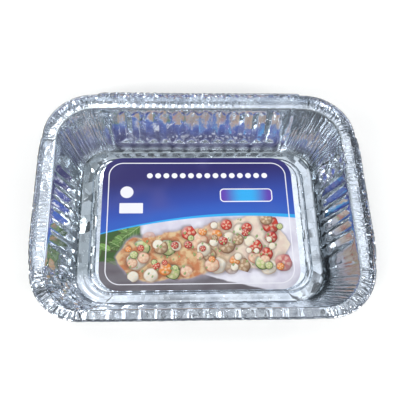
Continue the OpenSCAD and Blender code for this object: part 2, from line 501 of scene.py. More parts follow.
class FoilPan:
    """The pan: one sheet of foil, pressed to its section and creased all over.

    Lengths are in millimetres. Each Dents below makes one thing uneven.
    """

    SIDES = {
        Side.FRONT: RimStyle((3, 4, 5), 0.04, 0.30, 0.55, 0.012, 0.7),
        Side.RIGHT: RimStyle((1, 2, 2), 0.13, 0.30, 0.0, 0.26, 0.0),
        Side.BACK: RimStyle((3, 3, 3, 2), 0.46, 0.70, 0.0, 0.02, -0.1),
        Side.LEFT: RimStyle((1, 2, 2), 0.16, 0.35, 0.0, 0.15, 0.0),
    }
    CORNERS = {
        Side.FRONT: RimStyle((2, 2, 3), 0.12, 0.30, 0.0, 0.09, 0.0, (3, 4, 4), 0.60),
        Side.RIGHT: RimStyle((1, 2, 2), 0.12, 0.30, 0.0, 0.12, 0.0, (3, 4), 0.40),
        Side.BACK: RimStyle((1, 2, 2), 0.16, 0.30, 0.0, 0.10, 0.0, (3, 3, 4), 0.40),
        Side.LEFT: RimStyle((2, 2, 3), 0.20, 0.30, 0.0, 0.08, 0.0, (3, 4, 5), 0.55),
    }
    DINTS = (
        Dint(13.0, -113.0, 8.0, 0.5, 0.5),
        Dint(148.5, 27.0, 3.5, 0.5, 0.2),
        Dint(-14.0, -113.0, 5.0, 0.3, 0.3),
    )
    COARSE_PLEATS = Folds(21, 0.30, (3, 4), (4, 5, 6))
    MIDDLE_PLEATS = Folds(22, 0.40, (2, 3), (2, 2, 3))
    FINE_PLEATS = Folds(23, 0.22, (1, 2), (1, 1, 2))
    UNEVEN_PLEATS = Dents(11, 12.0, 30.0)
    UNEVEN_FLUTES = Dents(5, 7.2, 30.0)
    WIDE_DENTS = Dents(31, 11.0, 12.0)
    SMALL_DENTS = Dents(32, 5.0, 7.0)
    UNEVEN_CRIMPS = Dents(44, 12.0, 3.0)
    UNEVEN_RIBS = Dents(45, 9.0, 1.0)
    UNEVEN_RIM = Dents(51, 60.0, 50.0)
    FLOOR_SWELLS = Dents(52, 30.0, 9.0)
    CORNER_SWELLS = Dents(53, 16.0, 6.0)
    CRUMPLE_SEED = 77
    WALL_CRUMPLE = 0.03
    LIP_NOTCH = 0.12
    FLUTE_CURVE = 1.35
    ARCH_CURVE = 2.4
    ARCH_EDGE = 1.4
    ARCH_UNEVEN = 0.8
    DEPTH_UNEVEN = 0.14
    SHOULDER_SPREAD = (0.4, 4.0)
    BOW = (0.4, 1.5)
    WORN_FROM = (48.0, 60.0)

    def __init__(self, sizes: PanSizes) -> None:
        """Works out the stops and rings of the sheet.

        Args:
            sizes: The pan's sizes.
        """
        self.sizes = sizes
        self.stops = Stops(sizes)
        self.rings = Section(sizes).rings()
        self.z, self.ledge, self.lip, self.roll = (
            np.array([getattr(ring, name) for ring in self.rings])[:, None]
            for name in ("z", "ledge", "lip", "roll")
        )
        self.reach = np.array([ring.outline.length / 2 for ring in self.rings])
        self.way = self.stops.way[None, :]
        self.corner = self.stops.corner_share[None, :]
        self.off_corner = self.stops.from_corner()[None, :]
        self.on_rim = self.ledge > 0
        self.long_side = (self.stops.side % 2 == 0)[None, :]

    def _styled(self, name: str) -> np.ndarray:
        """One field of the rim's styles at every stop."""
        on_side, at_corner = (
            np.array([getattr(styles[side], name) for side in Side])[self._rim_side(styles)]
            for styles in (self.SIDES, self.CORNERS)
        )
        return on_side * (1 - self.corner[0]) + at_corner * self.corner[0]

    def _rim_side(self, styles: dict[Side, RimStyle]) -> np.ndarray:
        """The side whose style each stop takes. A corner belongs to the wall before it."""
        before = (self.stops.kind == Stops.PLAIN) & (self.stops.place < 0) & (styles is self.CORNERS)
        return np.where(before, (self.stops.side - 1) % len(Side), self.stops.side)

    def _crimps(self) -> tuple[np.ndarray, np.ndarray]:
        """The rim's folds and its grooves, as heights of up to 1 for each stop."""
        side = self._rim_side(self.CORNERS)
        folds, grooves = [], []
        for one in Side:
            corner = self.CORNERS[one]
            folds.append(self.stops.folds(40 + one.value, self.SIDES[one].steps, corner.steps))
            grooves.append(self.stops.grooves(70 + one.value, corner.apart))
        return np.choose(side, folds)[None, :], np.choose(side, grooves)[None, :]

    def _flutes(self) -> np.ndarray:
        """How far each point of the wall is pressed outwards by its flute."""
        s = self.sizes
        off_ridge = np.abs(2 * self.stops.phase[None, :] - 1)
        channel = 1 - off_ridge**self.FLUTE_CURVE
        uneven = self.UNEVEN_FLUTES.at(self.way, self.z)
        top = s.ledge_z - s.band_h - s.arch_h * off_ridge**self.ARCH_CURVE
        arch = soft_step(top + self.ARCH_UNEVEN * uneven - self.z, 0.0, self.ARCH_EDGE)
        spread = np.where(self.long_side, *self.SHOULDER_SPREAD)
        shoulder = (self.z - s.shoulder_z + spread) / (s.shoulder_h + 2 * spread)
        foot = s.foot_share + (1 - s.foot_share) * soft_step(shoulder, 0.0, 1.0)
        start = soft_step(self.z, 1.0, 8.0)
        depth = s.flute_d * (1 + self.DEPTH_UNEVEN * uneven)
        return np.where(self.stops.kind == Stops.FLUTE, depth * channel * arch * foot * start, 0.0)

    def _pleats(self) -> np.ndarray:
        """How far the corners' pleats move each point of the wall outwards."""
        near_corner = 1 - soft_step(self.off_corner, 0.25, 0.85)
        height = soft_step(self.z, 1.0, 10.0) * (1 - 0.6 * soft_step(self.z, 50.0, 54.5))
        coarse, middle, fine = (
            folds.depth * self.stops.folds(folds.seed, folds.on_wall, folds.at_corner)
            for folds in (self.COARSE_PLEATS, self.MIDDLE_PLEATS, self.FINE_PLEATS)
        )
        share = 0.5 + 0.5 * self.UNEVEN_PLEATS.at(self.way, self.z)
        folds = coarse * (1 - 0.6 * share) + middle * (0.5 + 0.5 * share) + fine * (1 - share)
        return ~self.on_rim * near_corner * height * folds

    def _dents(self) -> np.ndarray:
        """Soft dents of the wall, deepest on its plain stretches."""
        z, way = self.z, self.way
        plain = 0.25 + 0.75 * self.stops.plain_share[None, :] * (1 - 0.7 * self.corner)
        height = soft_step(z, 4.0, 14.0) * (1 - soft_step(z, 47.0, 54.0))
        swell = 0.55 * self.WIDE_DENTS.at(way, z) + 0.25 * self.SMALL_DENTS.at(way, z)
        return ~self.on_rim * plain * height * swell

    def _dints(self) -> tuple[np.ndarray, np.ndarray]:
        """How far the knocks push each point down, and how they crumple it."""
        shape = (len(self.rings), self.stops.count)
        down, crumple = np.zeros(shape), np.zeros(shape)
        flat = self._flat()
        high = soft_step(self.z, 46.0, 54.0)
        for dint in self.DINTS:
            far = np.hypot(flat[..., 0] - dint.x, flat[..., 1] - dint.y) / dint.reach
            hit = soft_step(1 - far, 0.0, 1.0) * high
            down += dint.depth * hit
            crumple += dint.crumple * hit
        return down, crumple

    def _flat(self) -> np.ndarray:
        """Where every point lies before it is creased, seen from above."""
        return np.stack([self.stops.on(ring.outline) for ring in self.rings])

    def _worn(self) -> np.ndarray:
        """1 along the right half of the back rim, whose crimps are rubbed flat."""
        place = soft_step(self.stops.on(self.sizes.mouth)[:, 0], *self.WORN_FROM)
        return ((self.stops.side == Side.BACK.value) * place)[None, :] * (1 - self.corner)

    def _outward(self, crimp: np.ndarray, crumple: np.ndarray) -> np.ndarray:
        """How far every point moves outwards.

        Args:
            crimp: The rim's folds, from -1 to 1.
            crumple: The crumples, in millimetres.

        Returns:
            Rings by stops, in millimetres.
        """
        bow = np.where(self.long_side, *self.BOW) * (1 - self.corner) * self.ledge
        bow = bow * soft_step(self.off_corner, 0.0, 1.0)
        out = self._flutes() + self._pleats() + self._dents() + bow
        out = out - 0.5 * (self.off_corner < self.LIP_NOTCH) * self.lip
        out = out + self.lip * (1 - 0.6 * self.roll) * crimp * self._styled("lip_depth")
        return out + crumple * np.where(self.on_rim, self.lip * (1 - 0.7 * self.roll), 1.0)

    def _over_ledge(self, crimp: np.ndarray, groove: np.ndarray) -> np.ndarray:
        """How far the crimps, ribs and grooves lift the ledge, and how far it droops."""
        arc = 0.35 + 0.65 * np.sin(np.pi * np.clip(self.ledge, 0, 0.5))
        arc = np.where(self.on_rim, arc * (1 - self.lip), 0.35 * soft_step(self.z, 53.0, 54.8))
        patchy = 0.7 + 0.3 * self.UNEVEN_CRIMPS.at(self.way, self.ledge * 6)
        off_rib = np.minimum(self.stops.phase, 1 - self.stops.phase)
        rib = np.where(self.stops.kind == Stops.FLUTE, 1 - soft_step(off_rib, 0.02, 0.21), 0.0)
        rib = rib[None, :] * (0.9 + 0.3 * self.UNEVEN_RIBS.at(self.way, 0 * self.way))
        up = crimp * patchy * self._styled("ledge_depth") + rib * self._styled("rib_depth")
        up = up + groove * self.corner * self._styled("groove_depth")
        return arc * (up - self.ledge * self._styled("droop"))

    def _swells(self) -> np.ndarray:
        """The soft unevenness of the channel, the rim and the lower lip at the corners."""
        s, z, way = self.sizes, self.z, self.way
        notch = (s.lip_h - s.corner_lip_h) * (self.off_corner < self.LIP_NOTCH) * self.lip
        high = 0.5 * self.UNEVEN_RIM.at(way, z * 0) * soft_step(z, 30.0, 55.0)
        bend = soft_step(1 - self.off_corner, 0.1, 1.0)
        swell = 0.08 * (1 + self.FLOOR_SWELLS.at(way, z))
        swell = swell + 0.10 * bend * (1 + self.CORNER_SWELLS.at(way, z))
        return high - notch + np.where((z < s.sheet_t + 0.01) & ~self.on_rim, swell, 0.0)

    def points(self) -> np.ndarray:
        """Where every point of the sheet lies once it is pressed.

        Returns:
            Rings by stops by x, y and z, in metres.
        """
        rng = np.random.default_rng(self.CRUMPLE_SEED)
        rough = rng.uniform(-1, 1, (len(self.rings), self.stops.count))
        crimp, groove = self._crimps()
        worn = self._worn()
        crimp = crimp * (1 - 0.75 * worn)
        streaks = 0.10 * worn * rough[:, :1] * np.sin(math.pi * self.ledge)
        down, crumple = self._dints()
        low = self.WALL_CRUMPLE * soft_step(self.z, 5.0, 12.0) * (1 - self.corner)
        crumple = rough * (crumple + np.where(self.on_rim, self._styled("crumple"), low))
        up = self._over_ledge(crimp, groove) + streaks + crumple * self.on_rim
        up = up + 0.12 * crimp * (self.roll > 0) - down + self._swells()
        flat = self._flat() + self._outward(crimp, crumple)[..., None] * self.stops.outward[None]
        return np.concatenate([flat, (self.z + up)[..., None]], axis=2) * MM

    def _mark(self, pan: bpy.types.Object, ring: np.ndarray, stop: np.ndarray) -> None:
        """Writes the zones that the finish reads.

        Args:
            pan: The pressed sheet.
            ring: The ring of each vertex.
            stop: The stop of each vertex.
        """
        on_foot = self.reach > self.sizes.floor.length / 2 - self.sizes.floor_bend
        on_foot = on_foot & ~self.on_rim[:, 0]
        zones = {
            "foot": (on_foot * (1 - soft_step(self.z[:, 0], 7.0, 15.0)))[ring],
            "corner": self.corner[0][stop],
            "ledge": self.on_rim[:, 0][ring],
            "lip": self.lip[:, 0][ring],
            "roll": self.roll[:, 0][ring],
        }
        for name, values in zones.items():
            field = pan.data.attributes.new(name, "FLOAT", "POINT")
            field.data.foreach_set("value", values.astype(np.float32))

    def _unroll(self, pan: bpy.types.Object, ring: np.ndarray, stop: np.ndarray) -> None:
        """Writes the UV map: the way round the mouth, and the way along the section.

        Args:
            pan: The pressed sheet.
            ring: The ring of each vertex.
            stop: The stop of each vertex.
        """
        mesh = pan.data
        rise = np.diff(self.z[:, 0], prepend=self.z[0, 0])
        along = np.cumsum(np.hypot(np.diff(self.reach, prepend=self.reach[0]), rise))
        vertex = np.empty(len(mesh.loops), dtype=np.int32)
        mesh.loops.foreach_get("vertex_index", vertex)
        starts = np.empty(len(mesh.polygons), dtype=np.int32)
        totals = np.empty(len(mesh.polygons), dtype=np.int32)
        mesh.polygons.foreach_get("loop_start", starts)
        mesh.polygons.foreach_get("loop_total", totals)
        face = np.repeat(np.arange(len(starts)), totals)
        face = face[np.argsort(np.repeat(starts, totals), kind="stable")]
        last = np.zeros(len(starts), dtype=bool)
        np.logical_or.at(last, face, stop[vertex] == self.stops.count - 1)
        closing = self.stops.way[-1] * (1 + 1 / self.stops.count)
        u = np.where(last[face] & (stop[vertex] == 0), closing, self.stops.way[stop[vertex]])
        uv = np.stack([u, along[ring[vertex]]], axis=1) * MM
        layer = mesh.uv_layers.new(name="sheet")
        layer.data.foreach_set("uv", uv.astype(np.float32).ravel())

    def build(self) -> bpy.types.Object:
        """Makes the sheet, presses it, gives it its thickness and dresses it.

        Returns:
            The finished piece.
        """
        pan = ring_sheet("foil_pan", self.stops.count, len(self.rings))
        ring, stop = press(pan, self.points())
        self._mark(pan, ring, stop)
        self._unroll(pan, ring, stop)
        thicken(pan, self.sizes.sheet_t * MM)
        pan.data.materials.append(FoilFinish().build())
        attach(pan, BODY)
        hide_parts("pan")
        return pan


def ring_sheet(name: str, count: int, rings: int) -> bpy.types.Object:
    """A flat disc of rings round a middle face, made by extruding a circle's edge.

    Args:
        name: The name of the new object.
        count: How many points each ring has.
        rings: How many rings there are. Ring i has a radius of i + 1 metres.

    Returns:
        The new object.
    """
    deselect()
    bpy.ops.mesh.primitive_circle_add(vertices=count, radius=1.0, fill_type="NGON")
    sheet = bpy.context.object
    sheet.name = sheet.data.name = name
    bpy.ops.object.mode_set(mode="EDIT")
    bpy.ops.mesh.select_mode(type="EDGE")
    bpy.ops.mesh.select_all(action="SELECT")
    bpy.ops.mesh.region_to_loop()
    for ring in range(1, rings):
        bpy.ops.mesh.extrude_edges_move()
        bpy.ops.transform.resize(value=((ring + 1) / ring,) * 3, center_override=(0, 0, 0))
    bpy.ops.object.mode_set(mode="OBJECT")
    return sheet


def press(sheet: bpy.types.Object, points: np.ndarray) -> tuple[np.ndarray, np.ndarray]:
    """Moves each point of a ring sheet to its place.

    Args:
        sheet: A sheet from ring_sheet.
        points: Rings by stops by x, y and z, in metres.

    Returns:
        The ring and the stop of each vertex.
    """
    mesh = sheet.data
    flat = np.empty(len(mesh.vertices) * 3)
    mesh.vertices.foreach_get("co", flat)
    x, y = flat[0::3], flat[1::3]
    ring = np.rint(np.hypot(x, y)).astype(int) - 1
    count = points.shape[1]
    stop = np.rint(np.arctan2(y, x) / (2 * math.pi) * count).astype(int) % count
    mesh.vertices.foreach_set("co", points[ring, stop].ravel())
    mesh.update()
    return ring, stop


def thicken(sheet: bpy.types.Object, thickness: float) -> None:
    """Gives a sheet its thickness below its upper face, and smooth shading.

    Args:
        sheet: The sheet, with its faces' normals up.
        thickness: In metres.
    """
    deselect()
    bpy.context.view_layer.objects.active = sheet
    sheet.select_set(True)
    wall = sheet.modifiers.new("thickness", "SOLIDIFY")
    wall.thickness = thickness
    wall.offset = -1.0
    bpy.ops.object.modifier_apply(modifier=wall.name)
    bpy.ops.object.shade_smooth_by_angle(angle=SMOOTH_UP_TO)


class Card:
    """The printed card that lies on the raised middle of the floor."""

    COUNT = 192
    RINGS = 30
    PER_CORNER = 40
    CORNER = 21.5
    LIFT = 0.5
    WAVE = Dents(61, 46.0, 38.0)
    WAVE_SHIFT = 400

    def __init__(self) -> None:
        """Takes the card's place and size from its solid."""
        low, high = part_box("card")
        self.low, self.high = Vector(low) / MM, Vector(high) / MM
        self.middle = (self.high + self.low) / 2

    def points(self) -> np.ndarray:
        """Where the card's points lie: rings of its own outline, with a slight wave.

        Returns:
            Rings by stops by x, y and z, in metres.
        """
        size = self.high - self.low
        shares = (np.arange(self.RINGS) + 1) / self.RINGS
        rows = [self._round(Outline(size.x * s, size.y * s, self.CORNER * s)) for s in shares]
        flat = np.stack(rows) + np.array(self.middle.xy)
        x, y = flat[..., 0], flat[..., 1]
        wave = 0.5 + 0.5 * self.WAVE.at(x + self.WAVE_SHIFT, y + self.WAVE_SHIFT)
        z = self.high.z + self.LIFT * wave * shares[:, None] ** 3
        return np.stack([x, y, z], axis=2) * MM

    def _round(self, outline: Outline) -> np.ndarray:
        """Points spaced evenly round an outline, from its front left corner."""
        dense = []
        r = outline.radius
        turn = np.linspace(0, math.pi / 2, self.PER_CORNER)
        for side in Side:
            length, width = outline.length, outline.width
            if side.value % 2:
                length, width = width, length
            along = length / 2 - r
            x = np.concatenate([[-along], along + r * np.sin(turn)])
            y = np.concatenate([[-width / 2], -width / 2 + r * (1 - np.cos(turn))])
            dense.append(quarter_turned(x, y, side.value))
        path = np.concatenate(dense + [dense[0][:1]])
        way = np.concatenate([[0], np.cumsum(np.hypot(*np.diff(path, axis=0).T))])
        at = np.arange(self.COUNT) / self.COUNT * way[-1]
        return np.stack([np.interp(at, way, path[:, 0]), np.interp(at, way, path[:, 1])], axis=1)

    def build(self) -> bpy.types.Object:
        """Makes the card and dresses it.

        Returns:
            The finished piece.
        """
        card = ring_sheet("printed_card", self.COUNT, self.RINGS)
        press(card, self.points())
        thicken(card, (self.high.z - self.low.z) * MM)
        card.data.materials.append(CardPrint(centre=tuple(self.middle.xy)).build())
        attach(card, BODY)
        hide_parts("card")
        return card


def maths(operation: str, swapped: bool = False) -> Callable[..., "Wire"]:
    """Makes a method of Wire that adds a Math node.

    Args:
        operation: What the node works out.
        swapped: Whether the wire comes after the other value.

    Returns:
        The method. It takes the other value, where there is one, and returns the result.
    """

    def method(wire: "Wire", *others: "Wire | float") -> "Wire":
        values = (*others, wire) if swapped else (wire, *others)
        return wire.shader.node("ShaderNodeMath", {"operation": operation}, *values)[0]

    return method


class Wire:
    """A socket that carries a number, with the maths written as Python expressions.

    size is the value without its sign, part is what follows the decimal point, most is the
    larger of two values, and angle is the angle, in radians, whose tangent is wire / other.
    """

    def __init__(self, shader: "Shader", socket: bpy.types.NodeSocket) -> None:
        """Wraps an output socket of a shader."""
        self.shader = shader
        self.socket = socket

    __add__ = __radd__ = maths("ADD")
    __sub__ = maths("SUBTRACT")
    __rsub__ = maths("SUBTRACT", swapped=True)
    __mul__ = __rmul__ = maths("MULTIPLY")
    __truediv__ = maths("DIVIDE")
    size = maths("ABSOLUTE")
    part = maths("FRACT")
    root = maths("SQRT")
    sine = maths("SINE")
    most = maths("MAXIMUM")
    angle = maths("ARCTAN2")

    def rise(self, low: float, high: float) -> "Wire":
        """A smooth rise from 0 at low to 1 at high, or a fall if high is the lower.

        Args:
            low: Where the result is 0.
            high: Where the result is 1.

        Returns:
            The risen value.
        """
        ends = (low, high, 0.0, 1.0) if low < high else (high, low, 1.0, 0.0)
        soft = {"interpolation_type": "SMOOTHSTEP"}
        return self.shader.node("ShaderNodeMapRange", soft, self, *ends)[0]


class Shader:
    """A material's node tree, built by calls."""

    def __init__(self, name: str, holder: bpy.types.ID | None = None) -> None:
        """Starts an empty material.

        Args:
            name: The material's name.
            holder: A world to fill in place of a new material.
        """
        self.material = holder or bpy.data.materials.new(name)
        self.material.use_nodes = True
        self.tree = self.material.node_tree
        self.tree.nodes.clear()

    def node(self, kind: str, settings: dict, *inputs: object, **named: object) -> list[Wire]:
        """Adds a node.

        Args:
            kind: The node's type.
            settings: Its properties, set before its sockets.
            *inputs: Values or wires for its first sockets, or None to leave one.
            **named: Values or wires for sockets by name, with _ for a space.

        Returns:
            Its outputs that are in use.
        """
        made = self.tree.nodes.new(kind)
        for key, value in settings.items():
            setattr(made, key, value)
        live = [i for i in made.inputs if i.enabled]
        pairs = [(s, v) for s, v in zip(live, inputs) if v is not None]
        by_name = {i.name: i for i in live}
        pairs += [(by_name[k.replace("_", " ")], v) for k, v in named.items()]
        for socket, value in pairs:
            if isinstance(value, Wire):
                self.tree.links.new(value.socket, socket)
            else:
                socket.default_value = value
        return [Wire(self, out) for out in made.outputs if out.enabled]

    def vectors(self, operation: str, *inputs: object, **named: object) -> Wire:
        """Adds a Vector Math node and returns its output."""
        return self.node("ShaderNodeVectorMath", {"operation": operation}, *inputs, **named)[0]

    def place(self) -> tuple[Wire, Wire, Wire, Wire]:
        """The Object coordinates as a vector and as x, y and z in millimetres."""
        scaled = self.vectors("SCALE", self.node("ShaderNodeTexCoord", {})[3], Scale=1 / MM)
        return scaled, *self.parts(scaled)

    def on_sheet(self) -> Wire:
        """The place on the piece's own UV map, which is in metres, in millimetres."""
        flat = self.node("ShaderNodeUVMap", {"uv_map": "sheet"})[0]
        return self.vectors("SCALE", flat, Scale=1 / MM)

    def field(self, name: str) -> Wire:
        """A number that the mesh holds for each of its points."""
        return self.node("ShaderNodeAttribute", {"attribute_name": name})[2]

    def stretched(self, vector: Wire, scale: tuple[float, float, float]) -> Wire:
        """A vector with its three parts scaled."""
        return self.vectors("MULTIPLY", vector, scale)

    def noise(self, vector: Wire, size: float, detail: float = 2.0) -> Wire:
        """Noise about 0.5, with features of a size in millimetres."""
        return self.node("ShaderNodeTexNoise", {}, vector, Scale=1 / size, Detail=detail)[0]

    def parts(self, vector: Wire) -> list[Wire]:
        """The three numbers of a vector or a colour."""
        return self.node("ShaderNodeSeparateXYZ", {}, vector)

    def facets(self, vector: Wire, size: float) -> Wire:
        """Flat facets that lean every way, as in crumpled foil.

        Args:
            vector: The place, in millimetres.
            size: How wide the facets are, in millimetres.

        Returns:
            Heights in millimetres, for slopes of up to about a half.
        """
        cell = self.node("ShaderNodeTexVoronoi", {}, vector, Scale=1 / size)
        offset = self.vectors("SUBTRACT", vector, cell[2])
        lean = self.vectors("SUBTRACT", cell[1], (0.5, 0.5, 0.5))
        return self.vectors("DOT_PRODUCT", offset, lean)

    def pick(self, colours: tuple[tuple, ...], value: Wire) -> Wire:
        """One of several colours, picked by a number from 0 to 1.

        Args:
            colours: The colours, each with an even share of the numbers.
            value: The number.

        Returns:
            The colour.
        """
        picked = self.node("ShaderNodeValToRGB", {}, value)[0]
        ramp = picked.socket.node.color_ramp
        ramp.interpolation = "CONSTANT"
        while len(ramp.elements) < len(colours):
            ramp.elements.new(1.0)
        for i, (element, colour) in enumerate(zip(ramp.elements, colours)):
            element.position, element.color = i / len(colours), colour
        return picked

    def mix(self, share: "Wire | float", first: object, second: object) -> Wire:
        """A colour between two colours."""
        return self.node("ShaderNodeMix", {"data_type": "RGBA"}, share, first, second)[0]

    def bump(self, height: Wire, distance: float, under: Wire | None = None) -> Wire:
        """A normal bent by a height.

        Args:
            height: From 0 to 1.
            distance: The height in millimetres that 1 stands for.
            under: A normal to bend further.

        Returns:
            The bent normal.
        """
        named = {"Height": height, "Distance": distance * MM, "Strength": 1.0}
        if under is not None:
            named["Normal"] = under
        return self.node("ShaderNodeBump", {}, **named)[0]

    def finish(self, **sockets: object) -> bpy.types.Material:
        """Ends the material in a Principled shader.

        Args:
            **sockets: Values or wires for its sockets, with _ for a space.

        Returns:
            The material.
        """
        surface = self.node("ShaderNodeBsdfPrincipled", {}, **sockets)[0]
        self.node("ShaderNodeOutputMaterial", {}, surface)
        return self.material


class FoilZones:
    """Parts of the foil, each as a wire that is 1 in the part and 0 away from it.

    vector, x, y and z are the place and sheet the place on the unrolled sheet, all in
    millimetres. corner, ledge, lip, roll and foot are what the mesh holds.

    Attributes:
        raised: All that stands off the floor.
        on_floor: The channel.
        on_wall: The wall.
        right_end: The right end.
        near_left: The near left corner.
        far_right: The crushed place of the right wall.
        far_lip: The back lip, without its right end.
        far_foot: The feet of the back wall's flutes.
    """

    def __init__(self, shader: Shader) -> None:
        """Works the parts out.

        Args:
            shader: The shader to draw in.
        """
        self.vector, self.x, self.y, self.z = shader.place()
        x, y, z = self.x, self.y, self.z
        self.sheet = shader.on_sheet()
        self.corner, self.ledge, self.lip, self.roll, self.foot = (
            shader.field(name) for name in ("corner", "ledge", "lip", "roll", "foot")
        )
        self.raised = z.rise(6.0, 14.0)
        self.on_floor = z.rise(3.0, 1.8)
        self.on_wall = self.raised * (1.0 - self.ledge)
        self.right_end = x.rise(108.0, 130.0)
        self.near_left = x.rise(-92.0, -106.0) * y.rise(-52.0, -66.0)
        self.far_right = x.rise(104.0, 114.0) * y.rise(34.0, 42.0) * y.rise(66.0, 58.0)
        self.far_lip = y.rise(98.0, 106.0) * x.rise(112.0, 92.0)
        self.far_foot = self.foot * y.rise(66.0, 78.0)


@dataclass(frozen=True)
class FoilFinish:
    """Bright rolled foil: nearly a mirror, with fine crinkles and rolling lines.

    Attributes:
        tint: The foil where it is cleanest.
        dull_tint: Its soft duller patches.
        lip_shade_tint: Painted shade in the lip's hem.
        dim_tint: Painted shade on parts of the wall; also the darker channel ends and back feet.
        painted_shade_tint: Painted shade in the creases, on the rolled edge and on the right end's
            feet.
        smooth: The lowest roughness.
        rough: The highest.
        patch: How wide the duller patches are, in millimetres.
        facet: How wide the facets all over the foil are.
        crumb: The smallest facets, on the wall and the rim.
        pane: The broad facets of the channel.
        dent: The facets of the crushed places.
        flake: The facets of the lip.

    The scales in capitals stretch a pattern one way: the smaller the number, the longer.
    """

    tint: tuple = (0.78, 0.815, 0.86, 1.0)
    dull_tint: tuple = (0.64, 0.68, 0.74, 1.0)
    lip_shade_tint: tuple = (0.40, 0.43, 0.48, 1.0)
    dim_tint: tuple = (0.36, 0.40, 0.42, 1.0)
    painted_shade_tint: tuple = (0.20, 0.23, 0.25, 1.0)
    smooth: float = 0.06
    rough: float = 0.14
    patch: float = 22.0
    facet: float = 5.0
    crumb: float = 1.7
    pane: float = 12.0
    dent: float = 4.5
    flake: float = 1.5

    ROLLING = (0.06, 1.4, 1.4)
    CREASES = (1.0, 0.09, 1.0)
    CRIMPS = (1.0, 0.22, 1.0)
    CREASE_SHADE = (1.0, 0.12, 1.0)
    FLAKES = (1.0, 0.6, 0.6)

    def build(self) -> bpy.types.Material:
        """Makes the material.

        Returns:
            The foil material.
        """
        shader = Shader("bright_foil")
        at = FoilZones(shader)
        patches = shader.noise(at.vector, self.patch, 3.0)
        rough = self.smooth + (self.rough - self.smooth) * patches.rise(0.35, 0.75)
        return shader.finish(
            Base_Color=self._colour(shader, at, patches),
            Metallic=1.0,
            Roughness=rough + 0.14 * at.far_foot,
            Normal=self._normal(shader, at),
        )

    def _normal(self, shader: Shader, at: FoilZones) -> Wire:
        """The normal, bent by the rolling lines, then the creases, then the facets."""
        lines = shader.noise(shader.stretched(at.vector, self.ROLLING), 1.6, 2.0)
        creases = shader.noise(shader.stretched(at.sheet, self.CREASES), 0.9, 2.0)
        creases = creases * at.corner * at.on_wall * 0.22
        crimps = shader.noise(shader.stretched(at.sheet, self.CRIMPS), 1.1, 1.0)
        creases = creases + crimps * at.ledge * (0.05 + 0.16 * at.corner)
        panes = 0.30 * at.x.rise(-100.0, -106.0) * at.y.rise(-62.0, -50.0)
        panes = panes + 0.19 * at.x.rise(100.0, 106.0)
        crushed = (at.corner * at.near_left).most(at.far_right) * at.on_wall
        flakes = shader.facets(shader.stretched(at.vector, self.FLAKES), self.flake)
        flakes = flakes * at.lip * (0.06 + 0.36 * at.far_lip * (1.0 - at.roll))
        ridges = (1.25 * shader.parts(at.sheet)[1]).sine() * 0.07
        height = flakes + ridges * at.corner * at.near_left * at.z.rise(6.0, 3.0)
        for width, depth in (
            (self.facet, 0.012 + 0.028 * at.raised + 0.01 * at.ledge),
            (self.crumb, 0.002 + 0.014 * at.raised + (0.02 + 0.05 * at.right_end) * at.ledge),
            (self.pane, at.on_floor * panes),
            (self.dent, crushed * (0.9 + 0.6 * at.near_left)),
        ):
            height = height + shader.facets(at.vector, width) * depth
        normal = shader.bump(creases, 1.0, shader.bump(lines, 0.012))
        return shader.bump(height, 1.0, normal)

    def _colour(self, shader: Shader, at: FoilZones, patches: Wire) -> Wire:
        """The foil's tint, with its duller and darker places laid over it one by one, most of the
        darker ones painted shade.
        """
        # Darker at the channel's left end, far side and right end.
        dim_channel = 0.95 * at.x.rise(-100.0, -112.0) * (1.0 - at.near_left)
        for edge in (0.65 * at.y.rise(70.0, 78.0), 0.3 * at.x.rise(104.0, 112.0)):
            dim_channel = dim_channel.most(edge)
        # Painted shade on the wall: darker at the right end and towards the back, most at the
        # corners.
        painted_wall_shade = (0.55 * at.right_end).most((0.2 + 0.15 * at.corner) * at.y.rise(0.0, 60.0))
        # Painted shade in thin creases over the ledge, on the corners and the right end.
        crease_shade = shader.noise(shader.stretched(at.sheet, self.CREASE_SHADE), 1.5, 1.0) - 0.5
        crease_shade = crease_shade.size().rise(0.055, 0.015) * at.ledge * (1.0 - at.lip)
        crease_shade = crease_shade * at.corner.most(0.5 * at.right_end)
        left_end = at.x.rise(-112.0, -132.0)
        colour = shader.mix(patches.rise(0.4, 0.7), self.tint, self.dull_tint)
        for share, tint in (
            # Painted shade in the lip's hem, less on the back lip and at the left end.
            (at.lip * (0.9 - 0.8 * at.far_lip - 0.4 * left_end), self.lip_shade_tint),
            # Darker at the channel's ends and far side.
            (at.on_floor * dim_channel, self.dim_tint),
            # Painted shade on the wall's right end and back half, not on the crushed place.
            (painted_wall_shade * at.on_wall * (1.0 - at.far_right), self.dim_tint),
            # Painted shade on the wall's feet at the right end.
            (0.85 * at.foot * at.x.rise(100.0, 118.0), self.painted_shade_tint),
            # Painted shade in the ledge's creases.
            (0.75 * crease_shade, self.painted_shade_tint),
            # Painted shadow along the rolled edge, except on the back lip.
            (0.8 * at.roll.rise(0.3, 0.8) * (1.0 - at.far_lip), self.painted_shade_tint),
            # Darker on the back wall's flute feet.
            (0.3 * at.far_foot, self.dim_tint),
        ):
            colour = shader.mix(share, colour, tint)
        return colour


